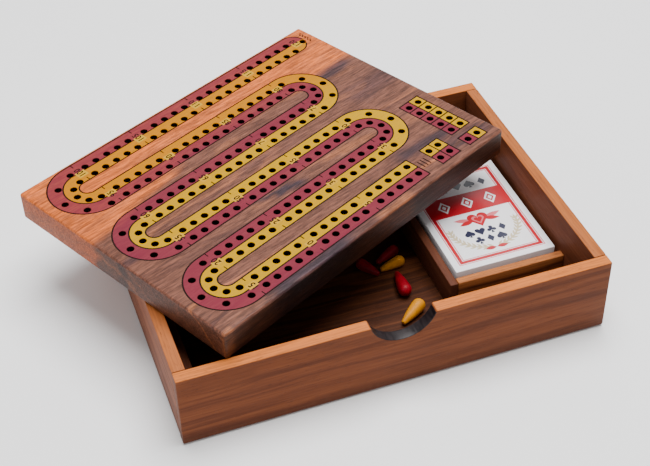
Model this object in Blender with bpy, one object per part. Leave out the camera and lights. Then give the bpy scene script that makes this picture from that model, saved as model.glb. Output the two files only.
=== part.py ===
"""Two-track cribbage board on a wooden storage box, with its card pack and six pegs.

Units are metres, +Z is up.  The origin is on the table, under the middle of the box.
+X runs along the front wall to the right and +Y runs from the front wall to the back wall.
The playing board lies askew across the open box, as it does when the box is being unpacked.
"""

import math

import bmesh
import bpy
from mathutils import Matrix, Vector

# ---------------------------------------------------------------- driving dimensions
GAP = 0.0003                 # air left between two touching pieces

BOX_WIDTH = 0.2554
BOX_DEPTH = 0.1902
BOX_HEIGHT = 0.0504
WALL = 0.0074
BASE_THICKNESS = 0.0070
BOTTOM_ROUND = 0.0025        # rounding along the box's outer bottom edge

NOTCH_RADIUS = 0.0199        # thumb notch: a round cut centred above the rim
NOTCH_CENTRE_X = 0.0006
NOTCH_CENTRE_RISE = 0.0055
NOTCH_SIDES = 64

RAIL_THICKNESS = 0.0050      # strips that frame the card compartment
RAIL_TOP = 0.0258
COMPARTMENT_WIDTH = 0.0690
COMPARTMENT_LENGTH = 0.1026
REST_RAIL_THICKNESS = 0.0080

BOARD_LENGTH = 0.2366
BOARD_WIDTH = 0.1739
BOARD_THICKNESS = 0.0183
BOARD_EDGE_ROUND = 0.0015
BOARD_CENTRE = Vector((-0.0324, 0.0420))
BOARD_TURN = math.radians(27.14)

# track layout, in the board's own axes: x along its length, y towards its far edge
HOLE_PITCH = 0.00845
HOLE_DIAMETER = 0.0042
HOLE_DEPTH = 0.0100
HOLE_SIDES = 8
HOLES_PER_GROUP = 5
GROUPS_PER_ROW = 3
ROWS = 6
GROUP_GAP = 0.0130           # last hole of one group to first hole of the next
TURN_GAP = 0.0113            # outermost straight hole to the turn's first hole
INNER_TURN = 0.00987         # radius of the inner track's arc of holes
OUTER_TURN = 0.01898
FIRST_TURN_X = -0.0876       # centre line of the left-hand turns
FIRST_ROW_Y = -0.0713        # middle of the row nearest the player
FINISH_X = 0.1078

PAIR_CENTRE = Vector((0.0758, -0.0713))      # 2 x 2 block, in line with the first row
GAMES_CENTRE = Vector((0.1016, -0.0464))     # 2 x 5 block that counts games won
LAST_PAIR_CENTRE = Vector((0.1010, -0.0768))
SIDE_COLUMN_PITCH = 0.0086

CARTON_WIDTH = 0.0645
CARTON_LENGTH = 0.0900
CARTON_THICKNESS = 0.0200
CARTON_WALL = 0.0005
CARTON_LEFT_X = 0.0533
CARTON_FRONT_Y = -0.0486
FLAP_SLIT = 0.0003
TONGUE_LENGTH = 0.0140
DECK_WIDTH = 0.0630
DECK_LENGTH = 0.0880
DECK_THICKNESS = 0.0172

PEG_TIP_RADIUS = 0.0014
PEG_FULLNESS = 1.6               # above 1 the taper bulges, as on a drop
PEG_BELLY = 0.35                 # share of the taper at which a lying peg touches the floor
PEG_SIDES = 16
# name, colour, x and y of the fat end's centre, heading of the tip, length, diameter
PEGS = (
    ("peg_red_1", "red", 0.0102, -0.0050, -54.4, 0.0165, 0.0070),
    ("peg_red_2", "red", 0.0329, -0.0004, -157.5, 0.0175, 0.0071),
    ("peg_red_3", "red", 0.0262, -0.0360, 84.0, 0.0220, 0.0082),
    ("peg_yellow_1", "yellow", 0.0327, -0.0107, -172.8, 0.0165, 0.0071),
    ("peg_yellow_2", "yellow", 0.0285, -0.0512, -146.9, 0.0200, 0.0082),
    ("peg_yellow_3", "yellow", -0.0310, 0.0150, 24.0, 0.0180, 0.0072),
)

# ---------------------------------------------------------------- derived places
INNER_X = BOX_WIDTH / 2 - WALL
INNER_Y = BOX_DEPTH / 2 - WALL
FLOOR_Z = BASE_THICKNESS
ROW_PITCH = INNER_TURN + OUTER_TURN
HALF_TRACK = (OUTER_TURN - INNER_TURN) / 2
GROUP_LENGTH = (HOLES_PER_GROUP - 1) * HOLE_PITCH
STRAIGHT = GROUPS_PER_ROW * GROUP_LENGTH + (GROUPS_PER_ROW - 1) * GROUP_GAP + 2 * TURN_GAP
COMPARTMENT_LEFT_X = INNER_X - COMPARTMENT_WIDTH
RAIL_BOTTOM = FLOOR_Z + GAP

COLOURS = {
    "box_wood": (0.36, 0.17, 0.08),
    "rail_wood": (0.33, 0.16, 0.08),
    "base_wood": (0.16, 0.07, 0.035),
    "board_wood": (0.30, 0.15, 0.10),
    "carton": (0.82, 0.80, 0.80),
    "deck": (0.90, 0.88, 0.84),
    "red": (0.42, 0.01, 0.02),
    "yellow": (0.75, 0.40, 0.02),
}
ROUGHNESS = {"box_wood": 0.5, "rail_wood": 0.55, "base_wood": 0.55, "board_wood": 0.45,
             "carton": 0.35, "deck": 0.6, "red": 0.2, "yellow": 0.2}


# ---------------------------------------------------------------- helpers
def clear_scene():
    for old in list(bpy.data.objects):
        bpy.data.objects.remove(old, do_unlink=True)


def material(name):
    """A Principled material with the piece's own colour."""
    made = bpy.data.materials.get(name)
    if made:
        return made
    made = bpy.data.materials.new(name)
    made.use_nodes = True
    shader = made.node_tree.nodes["Principled BSDF"]
    shader.inputs["Base Color"].default_value = (*COLOURS[name], 1.0)
    shader.inputs["Roughness"].default_value = ROUGHNESS[name]
    shader.inputs["Metallic"].default_value = 0.0
    return made


def add_object(name, shape, material_name=None):
    """Turns a bmesh into a named object in the scene."""
    bmesh.ops.recalc_face_normals(shape, faces=shape.faces)
    mesh = bpy.data.meshes.new(name)
    shape.to_mesh(mesh)
    shape.free()
    made = bpy.data.objects.new(name, mesh)
    bpy.context.scene.collection.objects.link(made)
    if material_name:
        mesh.materials.append(material(material_name))
    return made


def box_shape(low, high):
    """A closed box between two corners."""
    low, high = Vector(low), Vector(high)
    shape = bmesh.new()
    place = Matrix.Translation((low + high) / 2) @ Matrix.Diagonal((*(high - low), 1.0))
    bmesh.ops.create_cube(shape, size=1.0, matrix=place)
    return shape


def round_edges(shape, is_rounded, radius, segments=3):
    """Bevels the edges whose two end points both pass the test."""
    edges = [edge for edge in shape.edges if all(is_rounded(vert.co) for vert in edge.verts)]
    bmesh.ops.bevel(shape, geom=edges, offset=radius, segments=segments,
                    profile=0.5, affect="EDGES", clamp_overlap=True)


def prism_shape(centre, radius, length, axis, sides, turn=0.0):
    """A closed prism with a regular outline, centred on a point, along X, Y or Z."""
    turns = {"X": Matrix.Rotation(math.pi / 2, 4, "Y"),
             "Y": Matrix.Rotation(math.pi / 2, 4, "X"),
             "Z": Matrix.Identity(4)}
    place = Matrix.Translation(centre) @ turns[axis] @ Matrix.Rotation(turn, 4, "Z")
    shape = bmesh.new()
    bmesh.ops.create_cone(shape, cap_ends=True, segments=sides, radius1=radius,
                          radius2=radius, depth=length, matrix=place)
    return shape


def join_shape(target, extra):
    """Adds one bmesh's faces to another."""
    mesh = bpy.data.meshes.new("joined")
    extra.to_mesh(mesh)
    extra.free()
    target.from_mesh(mesh)
    bpy.data.meshes.remove(mesh)


def boolean(piece, shape, operation, name):
    """Cuts or joins a shape with a piece, keeping it as a hidden guide object."""
    guide = add_object(name, shape)
    guide.hide_render = True
    guide.display_type = "WIRE"
    guide.hide_viewport = False
    modifier = piece.modifiers.new(name, "BOOLEAN")
    modifier.operation = operation
    modifier.solver = "EXACT"
    modifier.object = guide
    return guide


# ---------------------------------------------------------------- storage box
def make_front_wall():
    """Full-width front wall with the round thumb notch in its top edge."""
    y_out = -BOX_DEPTH / 2
    shape = box_shape((-BOX_WIDTH / 2, y_out, 0), (BOX_WIDTH / 2, y_out + WALL, BOX_HEIGHT))
    round_edges(shape, lambda p: p.z < GAP and p.y < y_out + GAP, BOTTOM_ROUND)
    wall = add_object("front_wall", shape, "box_wood")
    centre = Vector((NOTCH_CENTRE_X, y_out + WALL / 2, BOX_HEIGHT + NOTCH_CENTRE_RISE))
    notch = prism_shape(centre, NOTCH_RADIUS, 3 * WALL, "Y", NOTCH_SIDES)
    boolean(wall, notch, "DIFFERENCE", "cut_thumb_notch")


def make_back_wall():
    y_out = BOX_DEPTH / 2
    shape = box_shape((-BOX_WIDTH / 2, y_out - WALL, 0), (BOX_WIDTH / 2, y_out, BOX_HEIGHT))
    round_edges(shape, lambda p: p.z < GAP and p.y > y_out - GAP, BOTTOM_ROUND)
    add_object("back_wall", shape, "box_wood")


def make_side_wall(name, side):
    """A wall that butts between the front and back walls; side is -1 left, +1 right."""
    x_in = side * INNER_X
    x_out = side * BOX_WIDTH / 2
    y_end = INNER_Y - GAP
    shape = box_shape((min(x_in, x_out), -y_end, 0), (max(x_in, x_out), y_end, BOX_HEIGHT))
    round_edges(shape, lambda p: p.z < GAP and abs(p.x - x_out) < GAP, BOTTOM_ROUND)
    add_object(name, shape, "box_wood")


def make_base_panel():
    x_end = INNER_X - GAP
    y_end = INNER_Y - GAP
    shape = box_shape((-x_end, -y_end, 0), (x_end, y_end, BASE_THICKNESS))
    add_object("base_panel", shape, "base_wood")


def make_card_frame():
    """Divider and two rails that hold the card pack against the right wall."""
    left = COMPARTMENT_LEFT_X
    half = COMPARTMENT_LENGTH / 2
    outer = half + RAIL_THICKNESS
    divider = box_shape((left - RAIL_THICKNESS, -outer, RAIL_BOTTOM), (left, outer, RAIL_TOP))
    add_object("card_divider", divider, "rail_wood")
    for name, side in (("card_rail_front", -1), ("card_rail_back", 1)):
        near, far = sorted((side * half, side * outer))
        rail = box_shape((left + GAP, near, RAIL_BOTTOM), (INNER_X - GAP, far, RAIL_TOP))
        add_object(name, rail, "rail_wood")


def make_rest_rail():
    """Strip along the left wall that carries the closed board's left end."""
    left = -INNER_X + GAP
    y_end = INNER_Y - GAP
    shape = box_shape((left, -y_end, RAIL_BOTTOM), (left + REST_RAIL_THICKNESS, y_end, RAIL_TOP))
    add_object("board_rest_rail", shape, "rail_wood")


# ---------------------------------------------------------------- playing board
def straight_hole_places():
    """x of every hole along one row, left to right."""
    places = []
    x = FIRST_TURN_X + TURN_GAP
    for _ in range(GROUPS_PER_ROW):
        places += [x + index * HOLE_PITCH for index in range(HOLES_PER_GROUP)]
        x += GROUP_LENGTH + GROUP_GAP
    return places


def turn_hole_places(turn):
    """Both tracks' five holes round one turn; even turns are on the left."""
    on_left = turn % 2 == 0
    centre_x = FIRST_TURN_X if on_left else FIRST_TURN_X + STRAIGHT
    centre_y = FIRST_ROW_Y + (turn + 0.5) * ROW_PITCH
    outwards = -1 if on_left else 1
    places = []
    for index in range(HOLES_PER_GROUP):
        angle = math.radians(-90 + 45 * index)
        for radius in (INNER_TURN, OUTER_TURN):
            x = centre_x + outwards * radius * math.cos(angle)
            places.append((x, centre_y + radius * math.sin(angle)))
    return places


def side_hole_places():
    """The three small blocks of holes beside the tracks."""
    half_column = SIDE_COLUMN_PITCH / 2
    places = []
    for x_step in (-0.5, 0.5):
        for y_step in (-1, 1):
            places.append((PAIR_CENTRE.x + x_step * HOLE_PITCH, PAIR_CENTRE.y + y_step * HALF_TRACK))
    for column in (-half_column, half_column):
        for index in range(-2, 3):
            places.append((GAMES_CENTRE.x + column, GAMES_CENTRE.y + index * HOLE_PITCH))
        places.append((LAST_PAIR_CENTRE.x + column, LAST_PAIR_CENTRE.y))
    return places


def hole_places():
    """Centres of all the peg holes, in the board's own axes."""
    places = []
    for row in range(ROWS):
        y = FIRST_ROW_Y + row * ROW_PITCH
        for x in straight_hole_places():
            places += [(x, y - HALF_TRACK), (x, y + HALF_TRACK)]
    last_y = FIRST_ROW_Y + (ROWS - 1) * ROW_PITCH
    for index in range(HOLES_PER_GROUP):
        x = FIRST_TURN_X + STRAIGHT + index * HOLE_PITCH
        places += [(x, last_y - HALF_TRACK), (x, last_y + HALF_TRACK)]
    for turn in range(ROWS - 1):
        places += turn_hole_places(turn)
    places.append((FINISH_X, last_y))
    return places + side_hole_places()


def make_playing_board():
    """The thick board with every peg hole drilled part-way down from its top face."""
    half = Vector((BOARD_LENGTH / 2, BOARD_WIDTH / 2, BOARD_THICKNESS / 2))
    shape = box_shape(-half, half)
    round_edges(shape, lambda p: True, BOARD_EDGE_ROUND, segments=2)
    board = add_object("playing_board", shape, "board_wood")
    board.location = (*BOARD_CENTRE, BOX_HEIGHT + GAP + half.z)
    board.rotation_euler = (0, 0, BOARD_TURN)

    drills = bmesh.new()
    above = 0.002
    for x, y in hole_places():
        centre = (x, y, half.z + (above - HOLE_DEPTH) / 2)
        drill = prism_shape(centre, HOLE_DIAMETER / 2, HOLE_DEPTH + above, "Z",
                            HOLE_SIDES, turn=math.pi / HOLE_SIDES)
        join_shape(drills, drill)
    guide = boolean(board, drills, "DIFFERENCE", "cut_peg_holes")
    guide.location = board.location
    guide.rotation_euler = board.rotation_euler


# ---------------------------------------------------------------- card pack
def make_card_carton():
    """Thin tuck carton: its end flap stays hinged along the bottom and tucks under the top."""
    low = Vector((CARTON_LEFT_X, CARTON_FRONT_Y, FLOOR_Z + GAP))
    high = low + Vector((CARTON_WIDTH, CARTON_LENGTH, CARTON_THICKNESS))
    skin = Vector((CARTON_WALL, CARTON_WALL, CARTON_WALL))
    carton = add_object("card_carton", box_shape(low, high), "carton")
    boolean(carton, box_shape(low + skin, high - skin), "DIFFERENCE", "cut_carton_inside")

    slits = bmesh.new()
    flap_y = high.y - CARTON_WALL
    past = 0.001
    for x in (low.x + CARTON_WALL, high.x - CARTON_WALL - FLAP_SLIT):
        side = box_shape((x, flap_y - past, low.z + CARTON_WALL),
                         (x + FLAP_SLIT, high.y + past, high.z - CARTON_WALL))
        join_shape(slits, side)
    boolean(carton, slits, "DIFFERENCE", "cut_flap_sides")
    under_top = high.z - CARTON_WALL
    top_slit = box_shape((low.x + CARTON_WALL, flap_y - past, under_top - FLAP_SLIT),
                         (high.x - CARTON_WALL, high.y + past, under_top))
    boolean(carton, top_slit, "DIFFERENCE", "cut_flap_top")
    inset = 2 * CARTON_WALL
    tongue_top = under_top - FLAP_SLIT
    tongue = box_shape((low.x + inset, flap_y - TONGUE_LENGTH, tongue_top - CARTON_WALL),
                       (high.x - inset, flap_y + CARTON_WALL / 2, tongue_top))
    boolean(carton, tongue, "UNION", "join_flap_tongue")


def make_card_deck():
    """The squared-up cards inside the carton."""
    centre_x = CARTON_LEFT_X + CARTON_WIDTH / 2
    centre_y = CARTON_FRONT_Y + CARTON_LENGTH / 2
    low_z = FLOOR_Z + GAP + CARTON_WALL + GAP
    shape = box_shape((centre_x - DECK_WIDTH / 2, centre_y - DECK_LENGTH / 2, low_z),
                      (centre_x + DECK_WIDTH / 2, centre_y + DECK_LENGTH / 2, low_z + DECK_THICKNESS))
    add_object("card_deck", shape, "deck")


# ---------------------------------------------------------------- pegs
def peg_profile(length, radius):
    """(distance from the fat end, radius) down a turned, drop-shaped peg."""
    profile = []
    for step in range(1, 5):
        angle = step / 4 * math.pi / 2
        profile.append((radius * (1 - math.cos(angle)), radius * math.sin(angle)))
    taper = length - radius
    for step in range(1, 7):
        part = step / 6
        profile.append((radius + part * taper,
                        PEG_TIP_RADIUS + (radius - PEG_TIP_RADIUS) * (1 - part ** PEG_FULLNESS)))
    return profile


def peg_shape(length, radius):
    """Peg along +X, its fat end's centre at the origin, made of rings of points."""
    shape = bmesh.new()
    crown = shape.verts.new((-radius, 0, 0))
    previous = None
    for along, ring_radius in peg_profile(length, radius):
        ring = []
        for side in range(PEG_SIDES):
            angle = 2 * math.pi * side / PEG_SIDES
            ring.append(shape.verts.new((along - radius, ring_radius * math.cos(angle),
                                         ring_radius * math.sin(angle))))
        for side in range(PEG_SIDES):
            following = (side + 1) % PEG_SIDES
            if previous is None:
                shape.faces.new((crown, ring[side], ring[following]))
            else:
                shape.faces.new((previous[side], ring[side], ring[following], previous[following]))
        previous = ring
    shape.faces.new(previous)
    return shape


def peg_pose(length, radius):
    """Downward tilt of a peg that lies on its belly, and height of its fat end's centre."""
    steepness = PEG_FULLNESS * PEG_BELLY ** (PEG_FULLNESS - 1)
    dip = math.atan((radius - PEG_TIP_RADIUS) / (length - radius) * steepness)
    height = max(ring_radius * math.cos(dip) + (along - radius) * math.sin(dip)
                 for along, ring_radius in peg_profile(length, radius))
    return dip, height


def make_pegs():
    """Six loose pegs lying on the floor of the box, each resting on its belly."""
    for name, colour, x, y, heading, length, diameter in PEGS:
        radius = diameter / 2
        peg = add_object(name, peg_shape(length, radius), colour)
        dip, height = peg_pose(length, radius)
        peg.location = (x, y, FLOOR_Z + GAP + height)
        peg.rotation_euler = (0, dip, math.radians(heading))
        peg.data.shade_smooth()
        peg.data.set_sharp_from_angle(angle=math.radians(50))


def main():
    clear_scene()
    make_front_wall()
    make_back_wall()
    make_side_wall("left_wall", -1)
    make_side_wall("right_wall", 1)
    make_base_panel()
    make_card_frame()
    make_rest_rail()
    make_playing_board()
    make_card_carton()
    make_card_deck()
    make_pegs()


main()
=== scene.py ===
"""Looks of the cribbage board: stained, burnt and figured wood, printed carton and lacquered pegs.

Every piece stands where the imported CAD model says.  Lengths are in metres, so a number times MM is
in millimetres, and angles are in degrees.  Textures work in millimetres.
"""

import math

import bmesh
import bpy
from mathutils import Matrix, Vector, kdtree
from mathutils.geometry import delaunay_2d_cdt


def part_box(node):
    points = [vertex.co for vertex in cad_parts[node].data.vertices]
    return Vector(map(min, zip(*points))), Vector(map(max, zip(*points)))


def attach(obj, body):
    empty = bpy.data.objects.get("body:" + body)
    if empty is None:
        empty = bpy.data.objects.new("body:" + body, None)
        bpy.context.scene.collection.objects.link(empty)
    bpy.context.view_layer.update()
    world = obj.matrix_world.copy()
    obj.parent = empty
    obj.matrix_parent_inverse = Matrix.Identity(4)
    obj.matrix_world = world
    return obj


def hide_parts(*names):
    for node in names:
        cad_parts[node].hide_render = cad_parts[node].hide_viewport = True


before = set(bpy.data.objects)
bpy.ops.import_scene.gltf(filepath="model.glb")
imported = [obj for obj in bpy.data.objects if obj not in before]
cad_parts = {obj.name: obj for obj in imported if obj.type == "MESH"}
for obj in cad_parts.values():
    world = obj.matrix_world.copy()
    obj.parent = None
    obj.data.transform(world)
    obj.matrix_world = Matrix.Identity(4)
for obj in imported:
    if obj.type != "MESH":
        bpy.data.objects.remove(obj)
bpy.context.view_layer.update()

MM = 0.001

# ---- sizes taken from the frame
FRONT_LOW, FRONT_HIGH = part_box("front_wall")
RIM_Z = FRONT_HIGH.z
WALL = FRONT_HIGH.y - FRONT_LOW.y
BOARD_LOW, BOARD_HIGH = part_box("playing_board")
BOARD_HALF_Z = (BOARD_HIGH.z - BOARD_LOW.z) / 2

# ---- playing board
BOARD_TURN = math.radians(27.14)
BOARD_TOP_RADIUS = 1.5 * MM          # rounding along the top and bottom edges
BOARD_CORNER_RADIUS = 1.6 * MM       # rounding of the four upright corners
BOARD_EDGE_STEPS = 6
BOARD_EDGE_SPACING = 6 * MM

HOLE_PITCH = 8.45 * MM
HOLE_RADIUS = 2.2 * MM
HOLE_RIM = 0.18 * MM                 # width and depth of the worn rim round each hole
HOLE_DEPTH = 10.0 * MM
HOLE_SIDES = 24
HOLES_PER_GROUP = 5
GROUPS_PER_ROW = 3
ROWS = 6
GROUP_GAP = 13.0 * MM                # between the holes at two groups' ends
TURN_GAP = 11.3 * MM                 # from a turn's middle to the first hole of the row
INNER_TURN = 9.87 * MM               # radii of the holes round a turn
OUTER_TURN = 18.98 * MM
FIRST_TURN_X = -87.6 * MM            # middle of the left-hand turns
FIRST_ROW_Y = -71.3 * MM
FINISH_X = 107.8 * MM                # the single hole in the last row's round end

# the printed track is a little larger than the drilled one, so at the back the holes sit
# nearer the front edge of their bands, as on the real board
PRINT_ROW_PITCH = 29.4 * MM
PRINT_FIRST_ROW_Y = -71.7 * MM
PRINT_LAST_TURN_X = 61.6 * MM        # middle of the right-hand turns
BAND_WIDTH = 9.45 * MM               # each of the two coloured bands
START_X = 55.5 * MM                  # square end of the first row
CAP_X = 100.25 * MM                  # centre of the last row's round end
LINE_HALF = 0.47 * MM                # half the width of a burnt outline
BURN_DEPTH = 0.15 * MM
TICK_LENGTH = 2.8 * MM
TICK_HALF = 0.35 * MM
DIGIT_HEIGHT = 4.5 * MM
DIGIT_WIDTH = 0.86                   # digits are a little narrower than the typeface
DIGIT_WEIGHT = 0.026                 # and a little bolder
DIGIT_PITCH = 2.75 * MM
HALO_HALF_LENGTH = 3.3 * MM          # patch without stain round each number
HALO_SIDE = 0.35 * MM
HALO_PAST_MIDDLE = 0.9 * MM
COUNT_STEP = 5                       # the numbers go up in fives
TURN_STEPS = 40
CAP_STEPS = 24

ROW_PITCH = INNER_TURN + OUTER_TURN
HALF_TRACK = (OUTER_TURN - INNER_TURN) / 2
GROUP_LENGTH = (HOLES_PER_GROUP - 1) * HOLE_PITCH
STRAIGHT = GROUPS_PER_ROW * GROUP_LENGTH + (GROUPS_PER_ROW - 1) * GROUP_GAP + 2 * TURN_GAP
LAST_TURN_X = FIRST_TURN_X + STRAIGHT

WOOD, RED, YELLOW, BURNT, BARE = range(5)
HOLE = "hole"

# small blocks beside the track: colours of the cells row by row from the front, then the centre
# and the spacing of the holes, and the centre and the size of the printed cells (mm)
BLOCKS = (
    (((RED, RED), (YELLOW, YELLOW)), (75.8, -71.3), (8.45, 9.11), (76.15, -71.55), (8.25, 9.35)),
    (((RED, YELLOW),) * 5, (101.6, -46.4), (8.6, 8.45), (101.6, -45.9), (8.6, 8.44)),
    (((RED, YELLOW),), (101.0, -76.8), (8.6, 0.0), (101.25, -76.7), (8.35, 9.4)),
)


# ---- material helpers
class Nodes:
    """One node material, built with short calls."""

    def __init__(self, name, roughness, specular=0.5, coat=0.0, coat_roughness=0.1):
        self.material = bpy.data.materials.new(name)
        self.material.use_nodes = True
        self.tree = self.material.node_tree
        self.shader = self.tree.nodes["Principled BSDF"]
        for socket, value in (("Roughness", roughness), ("Specular IOR Level", specular),
                              ("Coat Weight", coat), ("Coat Roughness", coat_roughness)):
            self.shader.inputs[socket].default_value = value
        metres = self.add("ShaderNodeTexCoord", {}).outputs["Object"]
        scaled = self.add("ShaderNodeVectorMath", {0: metres, "Scale": 1 / MM}, operation="SCALE")
        self.place = scaled.outputs[0]
        self.x, self.y, self.z = self.split(self.place)

    def add(self, kind, inputs, **settings):
        """A new node with its settings, and its inputs linked or set."""
        node = self.tree.nodes.new(kind)
        for key, value in settings.items():
            setattr(node, key, value)
        for socket, value in inputs.items():
            self.feed(node.inputs[socket], value)
        return node

    def feed(self, socket, value):
        """Links a node output to a socket, or sets a plain value on it."""
        if isinstance(value, bpy.types.NodeSocket):
            self.tree.links.new(value, socket)
        elif value is not None:
            socket.default_value = value

    def math(self, operation, *values):
        return self.add("ShaderNodeMath", dict(enumerate(values)), operation=operation).outputs[0]

    def plus(self, a, b):
        return self.math("ADD", a, b)

    def minus(self, a, b):
        return self.math("SUBTRACT", a, b)

    def times(self, a, b):
        return self.math("MULTIPLY", a, b)

    def swing(self, noise, width):
        """Noise made to swing to both sides of zero."""
        return self.times(self.minus(noise, 0.5), width)

    def split(self, vector):
        return self.add("ShaderNodeSeparateXYZ", {0: vector}).outputs

    def join(self, x, y, z):
        return self.add("ShaderNodeCombineXYZ", {0: x, 1: y, 2: z}).outputs[0]

    def mapped(self, place, turn=(0, 0, 0), shift=(0, 0, 0), size=(1, 1, 1)):
        """Turns and shifts the space, then divides each axis by a feature size."""
        inputs = {"Vector": place, "Location": shift, "Scale": size,
                  "Rotation": [math.radians(angle) for angle in turn]}
        return self.add("ShaderNodeMapping", inputs, vector_type="TEXTURE").outputs[0]

    def noise(self, size, shift=(0, 0, 0), place=None, detail=3.0, roughness=0.55):
        """Noise whose features have the given size along each axis."""
        place = self.mapped(self.place if place is None else place, shift=shift, size=size)
        inputs = {"Vector": place, "Scale": 1.0, "Detail": detail, "Roughness": roughness}
        return self.add("ShaderNodeTexNoise", inputs).outputs["Fac"]

    def noise_along(self, value, detail=3.0):
        """Noise that varies along one number only."""
        inputs = {"W": value, "Scale": 1.0, "Detail": detail, "Roughness": 0.6}
        return self.add("ShaderNodeTexNoise", inputs, noise_dimensions="1D").outputs["Fac"]

    def smooth(self, value, low, high, out_low=0.0, out_high=1.0):
        """Smooth step from out_low to out_high as the value goes from low to high."""
        inputs = {"Value": value, "From Min": low, "From Max": high,
                  "To Min": out_low, "To Max": out_high}
        return self.add("ShaderNodeMapRange", inputs, interpolation_type="SMOOTHSTEP").outputs["Result"]

    def ramp(self, value, *stops):
        """Colour ramp through (position, colour) stops."""
        node = self.add("ShaderNodeValToRGB", {"Fac": value})
        elements = node.color_ramp.elements
        while len(elements) < len(stops):
            elements.new(0.5)
        for element, (position, colour) in zip(elements, stops):
            element.position = position
            element.color = (*colour, 1.0)
        return node.outputs["Color"]

    def mix(self, factor, a, b, blend="MIX"):
        node = self.add("ShaderNodeMix", {"Factor": factor}, data_type="RGBA", blend_type=blend)
        sockets = [socket for socket in node.inputs if socket.type == "RGBA"]
        for socket, colour in zip(sockets, (a, b)):
            self.feed(socket, (*colour, 1.0) if isinstance(colour, tuple) else colour)
        return [socket for socket in node.outputs if socket.type == "RGBA"][0]

    def lit(self, colour, light):
        """The colour made lighter or darker by a number."""
        return self.mix(1.0, colour, self.join(light, light, light), "MULTIPLY")

    def finish(self, colour, roughness=None, bump=None, bump_depth=0.05):
        """Feeds the shader; the bump's depth is in millimetres."""
        self.feed(self.shader.inputs["Base Color"], colour)
        self.feed(self.shader.inputs["Roughness"], roughness)
        if bump is not None:
            inputs = {"Height": bump, "Strength": 1.0, "Distance": bump_depth * MM}
            self.feed(self.shader.inputs["Normal"], self.add("ShaderNodeBump", inputs).outputs["Normal"])
        return self.material


def grain(nodes, place, seed):
    """Fibres, pale fine lines and pores of wood whose grain runs along the place's x axis."""
    shift = (seed * 31.0, seed * 17.0, seed * 7.0)
    fibre = nodes.noise((26, 0.9, 0.9), shift, place, detail=4)
    fine = nodes.noise((9, 0.35, 0.35), shift, place, detail=2)
    pores = nodes.noise((5, 0.42, 0.42), shift, place, detail=1)
    return fibre, fine, nodes.smooth(pores, 0.66, 0.74)


def growth(nodes, place, seed, pith, spacing, wander):
    """Growth-ring value, 0 to 1, from the distance to a pith that runs along x."""
    slow = nodes.noise((150, 34, 34), (seed * 53.0, seed * 29.0, 0), place, detail=2)
    small = nodes.noise((38, 7, 7), (seed * 11.0, 0, seed * 5.0), place, detail=2)
    _, y, z = nodes.split(place)
    across = nodes.join(0.0, nodes.minus(y, pith[0]), nodes.minus(z, pith[1]))
    reach = nodes.add("ShaderNodeVectorMath", {0: across}, operation="LENGTH").outputs["Value"]
    rings = nodes.plus(nodes.plus(reach, nodes.swing(slow, 4 * wander)), nodes.swing(small, 3.0))
    return nodes.noise_along(nodes.math("DIVIDE", rings, spacing))


def plain_wood(name, palette, seed, pith, spacing, turn=(0, 0, 0), streaks=0.5, rim=None):
    """Straight-grained oiled wood.  The palette runs from the pale wood to the dark streaks.

    With a rim colour it is a wall's wood: darker towards the bottom and pale on its top edge."""
    pale, middle, dark = palette
    nodes = Nodes(name, 0.48, specular=0.09)
    place = nodes.mapped(nodes.place, turn=turn)
    fibre, fine, pores = grain(nodes, place, seed)
    rings = growth(nodes, place, seed, pith, spacing, wander=3.0)
    colour = nodes.ramp(rings, (0.30, pale), (0.50, middle), (0.72, dark))
    wide = nodes.noise((130, 6, 6), (seed * 9.0, seed * 3.0, 0), place)
    colour = nodes.mix(nodes.smooth(wide, 0.50, 0.66, 0.0, streaks), colour, dark)
    if rim is not None:
        top = RIM_Z / 2 / MM         # a wall's origin is at its middle
        # the wood darkens towards the bottom of the wall, along a cloudy line
        cloud = nodes.noise((90, 12, 12), (0, seed * 5.0, 0), place, detail=2)
        level = nodes.plus(nodes.z, nodes.times(cloud, 26.0))
        colour = nodes.mix(nodes.smooth(level, -10.0, 0.0, 0.85, 0.0), colour, dark)
        colour = nodes.mix(nodes.smooth(nodes.z, top - 0.45, top), colour, rim)
    colour = nodes.mix(nodes.smooth(fibre, 0.35, 0.75, 0.0, 0.42), colour, dark)
    colour = nodes.mix(nodes.smooth(fine, 0.45, 0.8, 0.0, 0.28), colour, pale)
    colour = nodes.mix(nodes.times(pores, 0.5), colour, tuple(c * 0.4 for c in dark))
    bump = nodes.minus(nodes.times(fibre, 0.6), pores)
    return nodes.finish(colour, nodes.smooth(fibre, 0.2, 0.8, 0.42, 0.56), bump, 0.06)


# ---- board materials
ORANGE = (0.480, 0.104, 0.017)
SALMON = (0.400, 0.100, 0.032)
TAN = (0.265, 0.089, 0.039)
BROWN = (0.130, 0.049, 0.031)
UMBER = (0.080, 0.031, 0.023)
PURPLE = (0.030, 0.017, 0.023)
# painted shade: the near black down inside the holes
HOLE_SHADE = (0.012, 0.003, 0.002)
SIDE_SHADE = 0.60                    # the sides below the top's rounded edge, darkened: partly darker side wood, partly painted shade
FRONT_SHADE = 0.26                   # the front side, darkened most: the same mix of darker wood and painted shade
# brown tint of the darkened sides, part of the same painted shade
SIDE_SHADE_TINT = (1.0, 0.86, 0.68)
STREAK_SHAKE = 9.0                   # how far a streak's edge wanders (mm)
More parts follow.
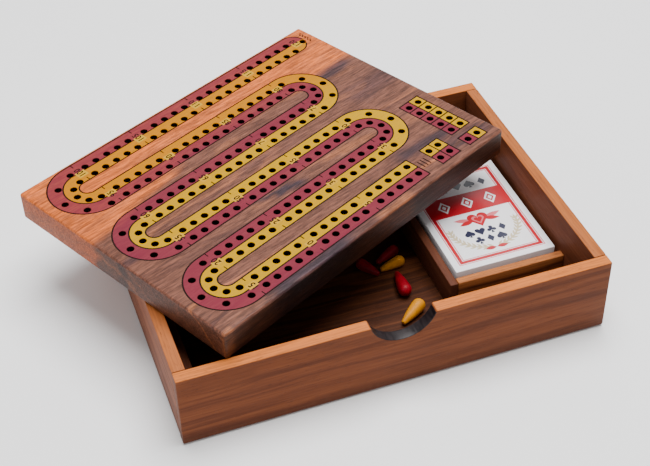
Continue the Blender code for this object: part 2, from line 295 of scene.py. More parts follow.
# streaks of the board's figure: middle x and y, angle, half length, half width (mm), strength, colour
FIGURE = (
    (75, -60, -6, 30, 5.0, 0.85, PURPLE),
    (-14, -27, -11, 22, 3.4, 0.97, PURPLE),
    (-48, -84, 0, 44, 5.0, 0.96, PURPLE),
    (-115, -5, 2, 12, 4.0, 0.60, PURPLE),
    (102, 6, 3, 30, 9.0, 0.50, PURPLE),
    (94, 35, 2, 24, 4.0, 0.85, PURPLE),
    (97, -75, -3, 28, 5.5, 0.70, PURPLE),
    (5, 3, -2, 30, 3.0, 0.25, PURPLE),
    (-80, -30, -5, 34, 2.5, 0.22, PURPLE),
    (42, -28, -8, 26, 2.6, 0.85, TAN),
    (20, -85, -2, 18, 2.6, 0.95, TAN),
    (96, -37, -5, 22, 4.5, 0.40, TAN),
    (-28, -26, -4, 12, 2.5, 0.35, TAN),
    (-117, -87, 20, 7, 2.5, 0.90, TAN),
)


def heartwood(nodes, place):
    """Salmon and orange wood at the back, brown wood in front, with a wavy line between them."""
    rings = growth(nodes, place, 5, (20.0, -95.0), 6.0, wander=6.0)
    wobble = nodes.noise((60, 12, 12))
    edge = nodes.plus(nodes.y, nodes.times(wobble, 26.0))
    edge = nodes.minus(edge, nodes.smooth(nodes.x, -118.0, -20.0, 30.0, 52.0))
    front = nodes.ramp(rings, (0.30, TAN), (0.42, BROWN), (0.58, BROWN), (0.72, UMBER))
    back = nodes.ramp(rings, (0.30, SALMON), (0.50, ORANGE), (0.74, SALMON))
    return nodes.mix(nodes.smooth(edge, -5.0, 6.0), front, back)


def add_streaks(nodes, colour):
    for number, (x, y, angle, half_length, half_width, strength, tint) in enumerate(FIGURE):
        local = nodes.mapped(nodes.place, turn=(0, 0, angle), shift=(x, y, 0))
        along, across, _ = nodes.split(local)
        shake = nodes.noise((20, 4, 4), (0, 0, number * 40.0))
        across = nodes.math("ABSOLUTE", nodes.plus(across, nodes.swing(shake, STREAK_SHAKE)))
        side = nodes.smooth(across, half_width * 0.3, half_width * 1.6, strength, 0.0)
        end = nodes.smooth(nodes.math("ABSOLUTE", along), half_length * 0.5, half_length, 1.0, 0.0)
        colour = nodes.mix(nodes.times(side, end), colour, tint)
    return colour


def board_figure(nodes):
    """Colour, fibres and bump height of the board's wood, before any stain, with its sides darkened below
    the top's rounded edge: partly darker wood, partly painted shade.
    """
    place = nodes.mapped(nodes.place, turn=(0, 0, -3))
    fibre, _, pores = grain(nodes, place, 3)
    colour = add_streaks(nodes, heartwood(nodes, place))
    dashes = nodes.noise((9, 1.1, 1.1), (7, 3, 1), place, roughness=0.7)
    cord = nodes.noise((34, 2.4, 2.4), (1, 9, 4), place, roughness=0.6)
    colour = nodes.lit(colour, nodes.smooth(dashes, 0.30, 0.70, 1.42, 0.60))
    colour = nodes.lit(colour, nodes.smooth(cord, 0.34, 0.66, 1.20, 0.80))
    colour = nodes.lit(colour, nodes.smooth(fibre, 0.30, 0.75, 1.12, 0.80))
    colour = nodes.mix(nodes.times(pores, 0.55), colour, PURPLE)
    top = BOARD_HALF_Z / MM
    front_edge = board_size()[1] / 2 / MM
    # painted shade, partly darker side wood: the sides below the rounded top edge are darkened and tinted
    # brown, the front side most
    side_shade = nodes.smooth(nodes.y, 0.6 - front_edge, 1.6 - front_edge, FRONT_SHADE, SIDE_SHADE)
    below = nodes.smooth(nodes.z, top - 2.4, top - 0.5, 1.0, 0.0)
    colour = nodes.lit(colour, nodes.minus(1.0, nodes.times(below, nodes.minus(1.0, side_shade))))
    colour = nodes.mix(below, colour, SIDE_SHADE_TINT, "MULTIPLY")
    return colour, fibre, nodes.minus(nodes.plus(fibre, dashes), pores)


def board_wood():
    nodes = Nodes("board_wood", 0.42, specular=0.16)
    colour, fibre, height = board_figure(nodes)
    return nodes.finish(colour, nodes.smooth(fibre, 0.2, 0.8, 0.36, 0.50), height, 0.06)


def stained_wood(name, front_stain, back_stain, change, cover):
    """Stain over the board's own grain, with painted shade that darkens it to near black down inside the
    holes.

    The stain's colour changes between two distances from the board's middle (mm)."""
    nodes = Nodes(name, 0.5, specular=0.03)
    colour, fibre, height = board_figure(nodes)
    tint = nodes.mix(nodes.smooth(nodes.y, *change), front_stain, back_stain)
    flecks = nodes.noise((6, 1.1, 1.1), detail=4)
    tint = nodes.mix(nodes.smooth(flecks, 0.3, 0.8, 0.0, 0.30), tint, (0.6, 0.6, 0.6), "MULTIPLY")
    colour = nodes.mix(cover, colour, tint)
    top = BOARD_HALF_Z / MM
    # painted shade: the hole walls darken to near black below the top
    colour = nodes.mix(nodes.smooth(nodes.z, top - 0.5, top - 0.06, 1.0, 0.0), colour, HOLE_SHADE)
    return nodes.finish(colour, nodes.smooth(fibre, 0.2, 0.8, 0.38, 0.52), height, 0.05)


def burnt_wood():
    nodes = Nodes("burnt_wood", 0.7, specular=0.08)
    soot = nodes.noise((1.5, 1.5, 1.5))
    colour = nodes.ramp(soot, (0.3, (0.006, 0.002, 0.002)), (0.7, (0.018, 0.008, 0.005)))
    return nodes.finish(colour, bump=soot, bump_depth=0.08)


def bare_wood():
    """Pale wood left without stain round the numbers."""
    nodes = Nodes("bare_wood", 0.5, specular=0.16)
    fibre = grain(nodes, nodes.place, 3)[0]
    colour = nodes.ramp(fibre, (0.3, (0.50, 0.275, 0.010)), (0.7, (0.44, 0.23, 0.008)))
    return nodes.finish(colour, bump=fibre, bump_depth=0.04)


def board_materials():
    """In the order of WOOD, RED, YELLOW, BURNT and BARE."""
    red = stained_wood("red_stain", (0.190, 0.023, 0.042), (0.172, 0.021, 0.040), (-70.0, 80.0), 0.85)
    yellow = stained_wood("yellow_stain", (0.470, 0.255, 0.0001), (0.440, 0.165, 0.0005),
                          (5.0, 48.0), 0.96)
    return board_wood(), red, yellow, burnt_wood(), bare_wood()


# ---- track geometry
def arc(centre, radius, start, end, steps):
    """Points along an arc, both ends included."""
    points = []
    for step in range(steps + 1):
        angle = math.radians(start + (end - start) * step / steps)
        points.append((centre[0] + radius * math.cos(angle), centre[1] + radius * math.sin(angle)))
    return points


class Winding:
    """Rows and turns of a track that winds from the front of the board to the back."""

    def __init__(self, first_y, pitch, left_x, right_x):
        self.first_y = first_y
        self.pitch = pitch
        self.left_x = left_x
        self.right_x = right_x

    def row_y(self, row):
        return self.first_y + row * self.pitch

    def turn_centre(self, turn):
        """Middle of one turn; even turns are on the left."""
        return (self.left_x if turn % 2 == 0 else self.right_x), self.row_y(turn + 0.5)

    def turn_arc(self, turn, radius, steps):
        """Points round a turn, from the row in front of it to the row behind it."""
        return arc(self.turn_centre(turn), radius, -90, -270 if turn % 2 == 0 else 90, steps)


DRILLED = Winding(FIRST_ROW_Y, ROW_PITCH, FIRST_TURN_X, LAST_TURN_X)
PRINTED = Winding(PRINT_FIRST_ROW_Y, PRINT_ROW_PITCH, FIRST_TURN_X, PRINT_LAST_TURN_X)


def block_grid(colours, centre, pitch):
    """(x, y, colour) of each cell of a small block."""
    for row, line in enumerate(colours):
        for column, colour in enumerate(line):
            x = centre[0] + (column - (len(line) - 1) / 2) * pitch[0]
            y = centre[1] + (row - (len(colours) - 1) / 2) * pitch[1]
            yield x * MM, y * MM, colour


def row_hole_places():
    """x of each pair of holes in a row."""
    group_step = GROUP_LENGTH + GROUP_GAP
    first = FIRST_TURN_X + TURN_GAP
    return [first + group * group_step + index * HOLE_PITCH
            for group in range(GROUPS_PER_ROW) for index in range(HOLES_PER_GROUP)]


def hole_places():
    last_y = DRILLED.row_y(ROWS - 1)
    pairs = [(x, DRILLED.row_y(row)) for row in range(ROWS) for x in row_hole_places()]
    pairs += [(LAST_TURN_X + index * HOLE_PITCH, last_y) for index in range(HOLES_PER_GROUP)]
    places = [(x, y + side * HALF_TRACK) for x, y in pairs for side in (-1, 1)]
    for turn in range(ROWS - 1):
        for radius in (INNER_TURN, OUTER_TURN):
            places += DRILLED.turn_arc(turn, radius, HOLES_PER_GROUP - 1)
    for colours, centre, pitch, _, _ in BLOCKS:
        places += [(x, y) for x, y, _ in block_grid(colours, centre, pitch)]
    return places + [(FINISH_X, last_y)]


def number_places():
    """(number, x, y) of every number along the track; they stand in the gaps between the groups."""
    group_step = GROUP_LENGTH + GROUP_GAP
    inner = [FIRST_TURN_X + TURN_GAP - GROUP_GAP / 2 + group_step * index for index in (1, 2)]
    gaps = [FIRST_TURN_X + TURN_GAP / 2, *inner, LAST_TURN_X - TURN_GAP / 2]
    places = []
    for row in range(ROWS):
        line = gaps[:-1] if row == 0 else gaps[:]
        if row % 2 == 0:
            line.reverse()
        if row == ROWS - 1:
            line.append(LAST_TURN_X + GROUP_LENGTH + GROUP_GAP / 2)
        places += [(x, PRINTED.row_y(row)) for x in line]
    return [(COUNT_STEP * (index + 1), x, y) for index, (x, y) in enumerate(places)]


def track_line(offset):
    """The printed winding line at one distance from the track's middle; yellow's side is positive."""
    points = [(START_X, PRINTED.first_y + offset)]
    for turn in range(ROWS - 1):
        inwards = offset if turn % 2 == 0 else -offset
        points += PRINTED.turn_arc(turn, PRINTED.pitch / 2 - inwards, TURN_STEPS)
    return points + [(CAP_X, PRINTED.row_y(ROWS - 1) - offset)]


def track_offset(x, y):
    """Signed distance from the printed track's middle line, or None away from the track."""
    row = min(range(ROWS), key=lambda index: abs(y - PRINTED.row_y(index)))
    side = y - PRINTED.row_y(row)
    if row % 2 == 1:
        side = -side
    if row == ROWS - 1 and x > PRINTED.left_x:
        if x <= CAP_X:
            return side
        radius = math.hypot(x - CAP_X, y - PRINTED.row_y(row))
        return math.copysign(max(radius, abs(side)), side)
    if row == 0 and x > START_X - LINE_HALF:
        return side if x <= START_X + LINE_HALF else None
    if PRINTED.left_x <= x <= PRINTED.right_x:
        return side
    on_left = x < PRINTED.left_x
    turns = range(0 if on_left else 1, ROWS - 1, 2)
    turn = min(turns, key=lambda index: abs(y - PRINTED.turn_centre(index)[1]))
    radius = math.dist((x, y), PRINTED.turn_centre(turn))
    return PRINTED.pitch / 2 - radius if on_left else radius - PRINTED.pitch / 2


# ---- numbers
def digit_shape(digit):
    """A digit's points and triangles, one unit high, round the origin."""
    curve = bpy.data.curves.new("digit", "FONT")
    curve.body = digit
    curve.resolution_u = 3
    curve.offset = DIGIT_WEIGHT
    helper = bpy.data.objects.new("digit", curve)
    bpy.context.scene.collection.objects.link(helper)
    bpy.context.view_layer.update()
    mesh = helper.to_mesh()
    xs = [vert.co.x for vert in mesh.vertices]
    ys = [vert.co.y for vert in mesh.vertices]
    height = max(ys) - min(ys)
    middle = (min(xs) + max(xs)) / 2
    points = [((x - middle) / height, (y - min(ys)) / height - 0.5) for x, y in zip(xs, ys)]
    faces = [tuple(face.vertices) for face in mesh.polygons]
    helper.to_mesh_clear()
    bpy.data.objects.remove(helper)
    bpy.data.curves.remove(curve)
    return points, faces


def placed_digits():
    """Every digit on the board as (points, faces), turned so that their tops are to the left."""
    shapes = {digit: digit_shape(digit) for digit in "0123456789"}
    placed = []
    for number, x, y in number_places():
        text = str(number)
        for index, digit in enumerate(text):
            flat, faces = shapes[digit]
            along = (index - (len(text) - 1) / 2) * DIGIT_PITCH
            points = [(x - v * DIGIT_HEIGHT, y + along + u * DIGIT_HEIGHT * DIGIT_WIDTH)
                      for u, v in flat]
            placed.append((points, faces))
    return placed


def outline_edges(faces):
    """Edges that belong to one face only."""
    count = {}
    for face in faces:
        for a, b in zip(face, face[1:] + face[:1]):
            key = (min(a, b), max(a, b))
            count[key] = count.get(key, 0) + 1
    return [key for key, uses in count.items() if uses == 1]


def inside_outline(x, y, outline):
    """Even-odd test of a point in a closed outline."""
    inside = False
    for (x1, y1), (x2, y2) in zip(outline, outline[1:] + outline[:1]):
        if (y1 > y) != (y2 > y) and x < x1 + (y - y1) * (x2 - x1) / (y2 - y1):
            inside = not inside
    return inside


# ---- plan of the board's top
# boxes on the plan are (low x, low y, high x, high y)
def rectangle(low_x, low_y, high_x, high_y):
    return [(low_x, low_y), (high_x, low_y), (high_x, high_y), (low_x, high_y)]


def box_round(x, y, half_x, half_y):
    return x - half_x, y - half_y, x + half_x, y + half_y


def in_box(x, y, box, grow=0.0):
    return box[0] - grow < x < box[2] + grow and box[1] - grow < y < box[3] + grow


def block_cells():
    """(box, colour) of the printed cells of the small blocks."""
    return [(box_round(x, y, size[0] / 2 * MM, size[1] / 2 * MM), colour)
            for colours, _, _, centre, size in BLOCKS
            for x, y, colour in block_grid(colours, centre, size)]


def halo_boxes():
    """Patch without stain round each number."""
    return [box_round(x, y, HALO_HALF_LENGTH, len(str(number)) / 2 * DIGIT_PITCH + HALO_SIDE)
            for number, x, y in number_places()]


def tick_boxes():
    """Short burnt marks on both borders beside each number but the last."""
    reach = BAND_WIDTH - LINE_HALF - TICK_LENGTH / 2
    return [box_round(x, y + side * reach, TICK_HALF, TICK_LENGTH / 2)
            for _, x, y in number_places()[:-1] for side in (-1, 1)]


BARS = 3
BAR_PITCH = 2.6 * MM
BAR_HALF_WIDTH = 0.45 * MM
BAR_HALF_LENGTH = 3.2 * MM
CHEQUERS = 10
CHEQUER = 1.2 * MM
CHEQUER_GAP = 3.6 * MM               # from the finish hole's centre


def sign_boxes():
    """Plain marks that stand in for words: bars at the start, a chequered strip at the finish."""
    first = START_X + BAR_HALF_WIDTH
    boxes = [box_round(first + BAR_PITCH * index, PRINTED.first_y, BAR_HALF_WIDTH, BAR_HALF_LENGTH)
             for index in range(1, BARS + 1)]
    for index in range(CHEQUERS):
        x = FINISH_X + CHEQUER_GAP + CHEQUER * (index % 2)
        y = PRINTED.row_y(ROWS - 1) + CHEQUER * (index - CHEQUERS / 2)
        boxes.append((x, y, x + CHEQUER, y + CHEQUER))
    return boxes


class BoardPlan:
    """Says which finish covers each point of the board's top."""

    def __init__(self):
        self.hole_places = hole_places()
        self.holes = kdtree.KDTree(len(self.hole_places))
        for index, (x, y) in enumerate(self.hole_places):
            self.holes.insert((x, y, 0), index)
        self.holes.balance()
        self.digits = placed_digits()
        self.halos = halo_boxes()
        self.ticks = tick_boxes()
        self.cells = block_cells()
        self.signs = sign_boxes()

    def hole_distance(self, x, y):
        return self.holes.find((x, y, 0))[2]

    def on_digit(self, x, y):
        for points, faces in self.digits:
            if max(abs(points[0][0] - x), abs(points[0][1] - y)) > 2 * DIGIT_HEIGHT:
                continue
            if any(inside_outline(x, y, [points[index] for index in face]) for face in faces):
                return True
        return False

    def finish_at(self, x, y):
        distance = self.hole_distance(x, y)
        if distance < HOLE_RADIUS * 0.995:     # the polygon of a hole lies inside its circle
            return HOLE
        for cell, colour in self.cells:
            if in_box(x, y, cell, LINE_HALF):
                return colour if in_box(x, y, cell, -LINE_HALF) else BURNT
        if any(in_box(x, y, sign) for sign in self.signs):
            return BURNT
        offset = track_offset(x, y)
        if offset is None or abs(offset) > BAND_WIDTH + LINE_HALF:
            return WOOD
        band = YELLOW if offset > 0 else RED
        if distance < HOLE_RADIUS + 2 * HOLE_RIM:
            return band
        at_start = abs(x - START_X) < LINE_HALF and abs(y - PRINTED.first_y) < BAND_WIDTH
        on_border = abs(offset) > BAND_WIDTH - LINE_HALF
        if on_border or at_start or any(in_box(x, y, tick) for tick in self.ticks):
            return BURNT
        if any(in_box(x, y, halo) for halo in self.halos):
            if self.on_digit(x, y):
                return BURNT
            return BARE if offset > -HALO_PAST_MIDDLE else RED
        on_middle = abs(offset) < LINE_HALF and x < CAP_X + BAND_WIDTH - 2 * LINE_HALF
        return BURNT if on_middle else band

    def hole_stain(self, face):
        """Stain that runs down the hole under a face: the one just outside the hole's rim."""
        middle = face.calc_center_median()
        centre = self.holes.find((middle.x, middle.y, 0))[0].xy
        edge = max(face.verts, key=lambda vert: self.hole_distance(vert.co.x, vert.co.y)).co.xy
        spot = edge + (edge - centre).normalized() * 2 * HOLE_RIM
        stain = self.finish_at(spot.x, spot.y)
        return stain if stain in (RED, YELLOW) else RED

    def lines(self):
        """Every line that the surface has to be cut along, as (points, is closed)."""
        found = [(track_line(-HALO_PAST_MIDDLE), False)]
        low_y, high_y = PRINTED.first_y - BAND_WIDTH, PRINTED.first_y + BAND_WIDTH
        cap = Vector((CAP_X, PRINTED.row_y(ROWS - 1)))
        for shift in (-LINE_HALF, LINE_HALF):
            for middle in (-BAND_WIDTH, 0.0, BAND_WIDTH):
                found.append((track_line(middle + shift), False))
            found.append((arc(cap, BAND_WIDTH + shift, -90, 90, CAP_STEPS), False))
            found.append(([cap + Vector((0, shift)), cap + Vector((BAND_WIDTH, shift))], False))
            found.append(([(START_X + shift, low_y), (START_X + shift, high_y)], False))
            for (cell_x, cell_y, far_x, far_y), _ in self.cells:
                corners = rectangle(cell_x - shift, cell_y - shift, far_x + shift, far_y + shift)
                found.append((corners, True))
        found += [(rectangle(*box), True) for box in self.halos + self.ticks + self.signs]
        for points, faces in self.digits:
            found += [([points[a], points[b]], False) for a, b in outline_edges(faces)]
        for place in self.hole_places:
            for radius in (HOLE_RADIUS, HOLE_RADIUS + HOLE_RIM):
                found.append((arc(place, radius, 0, 360, HOLE_SIDES)[:-1], True))
        return found


# ---- blocks with a cut top
def rounded_rectangle(half_x, half_y, radius, corner_steps, spacing):
    """Closed outline with evenly spread points along its straight sides."""
    outline = []
    corners = ((1, 1, 0), (-1, 1, 90), (-1, -1, 180), (1, -1, 270))
    for number, (side_x, side_y, start) in enumerate(corners):
        centre = (side_x * (half_x - radius), side_y * (half_y - radius))
        outline += arc(centre, radius, start, start + 90, corner_steps)
        next_x, next_y, _ = corners[(number + 1) % 4]
        target = (next_x * (half_x - radius), next_y * (half_y - radius))
        side_start = Vector(outline[-1])
        side_end = Vector(arc(target, radius, start + 90, start + 90, 1)[0])
        count = max(1, round((side_end - side_start).length / spacing))
        outline += [tuple(side_start.lerp(side_end, step / count)) for step in range(1, count)]
    return outline


def cut_surface(shape, outline, lines, height_at):
    """Cuts a flat surface along every line; returns its faces and its border's vertices in order."""
    points, edges = [], []
    for line, closed in [(outline, True), *lines]:
        start = len(points)
        points += [Vector(point) for point in line]
        last = len(points) - 1
        edges += [(index, index + 1) for index in range(start, last)]
        if closed:
            edges.append((last, start))
    flat, _, faces, origins, _, _ = delaunay_2d_cdt(points, edges, [], 1, 1e-7)
    verts = [shape.verts.new((place.x, place.y, height_at(place))) for place in flat]
    made = [shape.faces.new([verts[index] for index in face]) for face in faces]
    vert_of = {source: vert for vert, sources in zip(verts, origins) for source in sources}
    return made, [vert_of[index] for index in range(len(outline))]


def quarter_turn(steps):
    """(sine, cosine) at even steps through a quarter turn, without its start."""
    angles = [math.pi / 2 * step / steps for step in range(1, steps + 1)]
    return [(math.sin(angle), math.cos(angle)) for angle in angles]


def add_ring(shape, above, places):
    """A new ring of vertices, joined to the ring above it by a band of faces."""
    below = [shape.verts.new(place) for place in places]
    for index, vert in enumerate(below):
        following = (index + 1) % len(below)
        shape.faces.new((above[following], above[index], vert, below[following]))
    return below


def add_sides(shape, ring, outline_at, half_height, radius, steps):
    """Closes a cut surface: round its edge, down, round the lower edge and across the underside."""
    levels = [(radius * sine, half_height - radius * (1 - cosine)) for sine, cosine in quarter_turn(steps)]
    levels += [(grow, -height) for grow, height in reversed(levels)] + [(0.0, -half_height)]
    for grow, height in levels:
        ring = add_ring(shape, ring, [(x, y, height) for x, y in outline_at(grow)])
    shape.faces.new(ring[::-1])


def cut_block(half, corner, edge, steps, spacing, lines, height_at):
    """A closed block with rounded corners and edges, its top cut along lines; and its top faces."""
    shape = bmesh.new()

    def outline_at(grow):
        inset = edge - grow
        return rounded_rectangle(half.x - inset, half.y - inset, corner - inset, steps, spacing)

    faces, border = cut_surface(shape, outline_at(0.0), lines, height_at)
    add_sides(shape, border, outline_at, half.z, edge, steps)
    return shape, faces


def extrude(shape, parts, shift, keep=False):
    """Extrudes faces and moves the new ones; the old ones go, unless they are kept."""
    moved = bmesh.ops.extrude_face_region(shape, geom=parts, use_keep_orig=keep)["geom"]
    verts = [item for item in moved if isinstance(item, bmesh.types.BMVert)]
    bmesh.ops.translate(shape, verts=verts, vec=shift)


def sink(shape, faces, depth):
    """Pushes a set of faces straight down, with upright walls round them."""
    edges = list(dict.fromkeys(edge for face in faces for edge in face.edges))
    extrude(shape, faces + edges, (0, 0, -depth))


def board_size():
    """Length and width of the turned board, from the frame's box round its rounded corners."""
    cosine, sine = math.cos(BOARD_TURN), math.sin(BOARD_TURN)
    cut_off = 2 * BOARD_TOP_RADIUS * (cosine + sine - 1)
    extent = BOARD_HIGH - BOARD_LOW + Vector((cut_off, cut_off, 0))
    share = cosine * cosine - sine * sine
    return (extent.x * cosine - extent.y * sine) / share, (extent.y * cosine - extent.x * sine) / share


def build_playing_board(plan):
    """The whole board as one closed mesh, its top cut along every painted and burnt line."""
    length, width = board_size()
    half = Vector((length / 2, width / 2, BOARD_HALF_Z))

    def height_at(place):
        by_hole = plan.hole_distance(place.x, place.y) < HOLE_RADIUS + HOLE_RIM / 2
        return half.z - (HOLE_RIM if by_hole else 0.0)

    shape, faces = cut_block(half, BOARD_CORNER_RADIUS, BOARD_TOP_RADIUS, BOARD_EDGE_STEPS,
                             BOARD_EDGE_SPACING, plan.lines(), height_at)
    sunk = {BURNT: [], HOLE: []}
    for face in faces:
        middle = face.calc_center_median()
        finish = plan.finish_at(middle.x, middle.y)
        if finish in sunk:
            sunk[finish].append(face)
        face.material_index = plan.hole_stain(face) if finish == HOLE else finish
    sink(shape, sunk[BURNT], BURN_DEPTH)
    sink(shape, sunk[HOLE], HOLE_DEPTH - HOLE_RIM)
    place = Matrix.Translation((BOARD_LOW + BOARD_HIGH) / 2) @ Matrix.Rotation(BOARD_TURN, 4, "Z")
    add_piece("scoring_board", shape, board_materials(), "board", "playing_board", place)


# ---- pieces
EASED = 0.5 * MM                     # sanded edges of the box's wood
BASE_EASED = 0.3 * MM
BOTTOM_ROUND = 2.5 * MM              # outer bottom edges of the walls
SHARP_ANGLE = math.radians(50)


def link_object(name, data):
    made = bpy.data.objects.new(name, data)
    bpy.context.scene.collection.objects.link(made)
    return made


def link_mesh(name, shape, materials):
    mesh = bpy.data.meshes.new(name)
    shape.to_mesh(mesh)
    shape.free()
    for material in materials:
        mesh.materials.append(material)
    return link_object(name, mesh)


def add_piece(name, shape, materials, body, node, place, smooth_angle=35):
    """Turns a bmesh into a piece that rides on a body and stands for a CAD node."""
    bmesh.ops.recalc_face_normals(shape, faces=shape.faces)
    piece = link_mesh(name, shape, materials)
    piece.data.shade_smooth()
    piece.data.set_sharp_from_angle(angle=math.radians(smooth_angle))
    piece.matrix_world = place
    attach(piece, body)
    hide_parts(node)


def block_at(node):
    """A box as large as a CAD node, round the origin, and where it goes."""
    low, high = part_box(node)
    shape = bmesh.new()
    bmesh.ops.create_cube(shape, size=1.0, matrix=Matrix.Diagonal((*(high - low), 1.0)))
    return shape, Matrix.Translation((low + high) / 2)


def bevel(shape, edges, radius, segments):
    bmesh.ops.bevel(shape, geom=edges, offset=radius, segments=segments, profile=0.5,
                    affect="EDGES", clamp_overlap=True)


def ease_wall(shape, outward):
    """Rounds a wall's outer bottom edge and sands its other edges."""
    outward = Vector(outward)
    lowest = min(vert.co.z for vert in shape.verts)
    bottom = [edge for edge in shape.edges
              if all(vert.co.z < lowest + MM / 10 and vert.co.dot(outward) > 0 for vert in edge.verts)]
    bevel(shape, bottom, BOTTOM_ROUND, 6)
    bevel(shape, [edge for edge in shape.edges if edge.calc_face_angle(0) > SHARP_ANGLE], EASED, 3)


def eased_block(node, material, radius=EASED):
    """A block-shaped piece of the box with softly sanded edges."""
    shape, place = block_at(node)
    bevel(shape, shape.edges[:], radius, 3)
    add_piece(node + "_eased", shape, (material,), "box", node, place)


# ---- storage box
BOX_DARK = (0.085, 0.024, 0.011)
LONG_PALETTE = ((0.215, 0.064, 0.022), (0.165, 0.047, 0.017), BOX_DARK)
SIDE_PALETTE = ((0.270, 0.088, 0.040), (0.190, 0.058, 0.026), BOX_DARK)
BASE_PALETTE = ((0.105, 0.031, 0.010), (0.055, 0.016, 0.006), (0.020, 0.006, 0.003))
RAIL_PALETTE = ((0.50, 0.17, 0.048), (0.36, 0.115, 0.035), BOX_DARK)
DIVIDER_PALETTE = ((0.140, 0.047, 0.022), (0.090, 0.028, 0.015), BOX_DARK)
RIM_PALE = (0.600, 0.170, 0.034)
SIDE_RIM_PALE = (0.400, 0.118, 0.030)
ALONG_Y = (0, 0, 90)                 # turn of the texture where the grain runs along Y
NOTCH_RADIUS = 19.9 * MM
NOTCH_CENTRE = Vector((0.6 * MM, RIM_Z + 5.5 * MM))
NOTCH_FILLET = 1.6 * MM
BURNT_REACH = 0.45 * MM              # the notch's black ends this far past its radius
BURNT_DROP = 0.9 * MM                # and this far below the rim


def wall_outline():
    """Front wall seen from the front: a bar with the thumb notch in its top edge."""
    rise = NOTCH_CENTRE.y - RIM_Z
    fillet_x = math.sqrt((NOTCH_RADIUS + NOTCH_FILLET) ** 2 - (rise + NOTCH_FILLET) ** 2)
    meet = math.degrees(math.atan2(-(rise + NOTCH_FILLET), fillet_x))
    fillet_z = RIM_Z - NOTCH_FILLET
    outline = [(FRONT_LOW.x, 0.0), (FRONT_HIGH.x, 0.0), (FRONT_HIGH.x, RIM_Z)]
    outline += arc((NOTCH_CENTRE.x + fillet_x, fillet_z), NOTCH_FILLET, 90, 180 + meet, 8)
    outline += arc(NOTCH_CENTRE, NOTCH_RADIUS, meet, -180 - meet, 48)[1:-1]
    outline += arc((NOTCH_CENTRE.x - fillet_x, fillet_z), NOTCH_FILLET, -meet, 90, 8)
    return outline + [(FRONT_LOW.x, RIM_Z)]


def build_front_wall(material):
    """The front wall, with its thumb notch scorched black inside."""
    shape = bmesh.new()
    middle_z = RIM_Z / 2
    ring = [shape.verts.new((x, -WALL / 2, z - middle_z)) for x, z in wall_outline()]
    extrude(shape, [shape.faces.new(ring)], (0, WALL, 0), keep=True)
    shape.normal_update()
    ease_wall(shape, (0, -1, 0))
    centre = NOTCH_CENTRE - Vector((0, middle_z))
    for face in shape.faces:
        middle = face.calc_center_median()
        in_notch = (middle.xz - centre).length < NOTCH_RADIUS + BURNT_REACH
        upright = abs(face.normal.y) < 0.75
        if in_notch and upright and middle.z < middle_z - BURNT_DROP:
            face.material_index = 1
    place = Matrix.Translation((0, (FRONT_LOW.y + FRONT_HIGH.y) / 2, middle_z))
    add_piece("front_wall_eased", shape, (material, notch_black()), "box", "front_wall", place)


def build_outer_wall(node, material, outward):
    """A plain wall; outward is its outside direction."""
    shape, place = block_at(node)
    ease_wall(shape, outward)
    add_piece(node + "_eased", shape, (material,), "box", node, place)


def notch_black():
    """Scorched wood with a soft grey sheen."""
    nodes = Nodes("scorched_wood", 0.38, specular=0.28)
    marks = nodes.noise((2.0, 9.0, 2.0), detail=4)
    colour = nodes.ramp(marks, (0.3, (0.006, 0.004, 0.005)), (0.7, (0.020, 0.013, 0.014)))
    return nodes.finish(colour, nodes.smooth(marks, 0.3, 0.7, 0.32, 0.5), marks, 0.12)


def build_box():
    build_front_wall(plain_wood("front_wood", LONG_PALETTE, 1.0, (-60.0, 40.0), 7.0,
                                streaks=0.80, rim=RIM_PALE))
    back = plain_wood("back_wood", LONG_PALETTE, 2.3, (60.0, 20.0), 7.0, rim=RIM_PALE)
    left = plain_wood("left_wood", SIDE_PALETTE, 3.1, (70.0, 10.0), 8.0, ALONG_Y, rim=SIDE_RIM_PALE)
    right = plain_wood("right_wood", SIDE_PALETTE, 4.7, (-50.0, 15.0), 8.0, ALONG_Y, rim=SIDE_RIM_PALE)
    build_outer_wall("back_wall", back, (0, 1, 0))
    build_outer_wall("left_wall", left, (-1, 0, 0))
    build_outer_wall("right_wall", right, (1, 0, 0))

    base = plain_wood("base_wood", BASE_PALETTE, 5.2, (10.0, -60.0), 4.0, streaks=0.8)
    eased_block("base_panel", base, BASE_EASED)
    rail = plain_wood("rail_wood", RAIL_PALETTE, 6.4, (30.0, -40.0), 7.0)
    divider = plain_wood("divider_wood", DIVIDER_PALETTE, 7.7, (30.0, -40.0), 7.0, ALONG_Y)
    for node, material in (("card_rail_front", rail), ("card_rail_back", rail),
                           ("card_divider", divider), ("board_rest_rail", divider)):
        eased_block(node, material)


# ---- card pack
WHITE_PRINT, RED_PRINT, PINK_PRINT, DARK_PRINT, GOLD_PRINT = range(5)
PRINTS = (("white_print", (0.86, 0.84, 0.86)), ("red_print", (0.46, 0.004, 0.014)),
          ("pink_print", (0.66, 0.14, 0.16)), ("dark_print", (0.014, 0.015, 0.045)),
          ("gold_print", (0.56, 0.46, 0.30)))
CARTON_EDGE = 0.45 * MM
CARTON_CORNER = 0.5 * MM
CARTON_EDGE_STEPS = 4
CARTON_EDGE_SPACING = 8 * MM
SHEET = 0.32                         # thickness of one deck card (mm)
# the drawing's sizes are in millimetres, from the middle of the carton's top
BAND_FRONT = 2.0
BAND_BACK = 20.0
FRAMES = ((4.2, PINK_PRINT), (4.8, WHITE_PRINT), (5.2, RED_PRINT), (7.4, WHITE_PRINT),
          (7.8, PINK_PRINT), (8.4, WHITE_PRINT))     # inset of each frame line's outer edge
BAND_INSET = 5.2
DIAMOND_PITCH = 15.5
DIAMONDS = ((11.5, WHITE_PRINT), (7.4, RED_PRINT), (4.0, WHITE_PRINT))
EMBLEM_Y = -6.0
HEARTS = ((13.0, RED_PRINT), (8.0, PINK_PRINT), (5.2, RED_PRINT))
WINGS = ((14, 13.0, PINK_PRINT), (-12, 10.5, RED_PRINT))     # tilt, length and colour
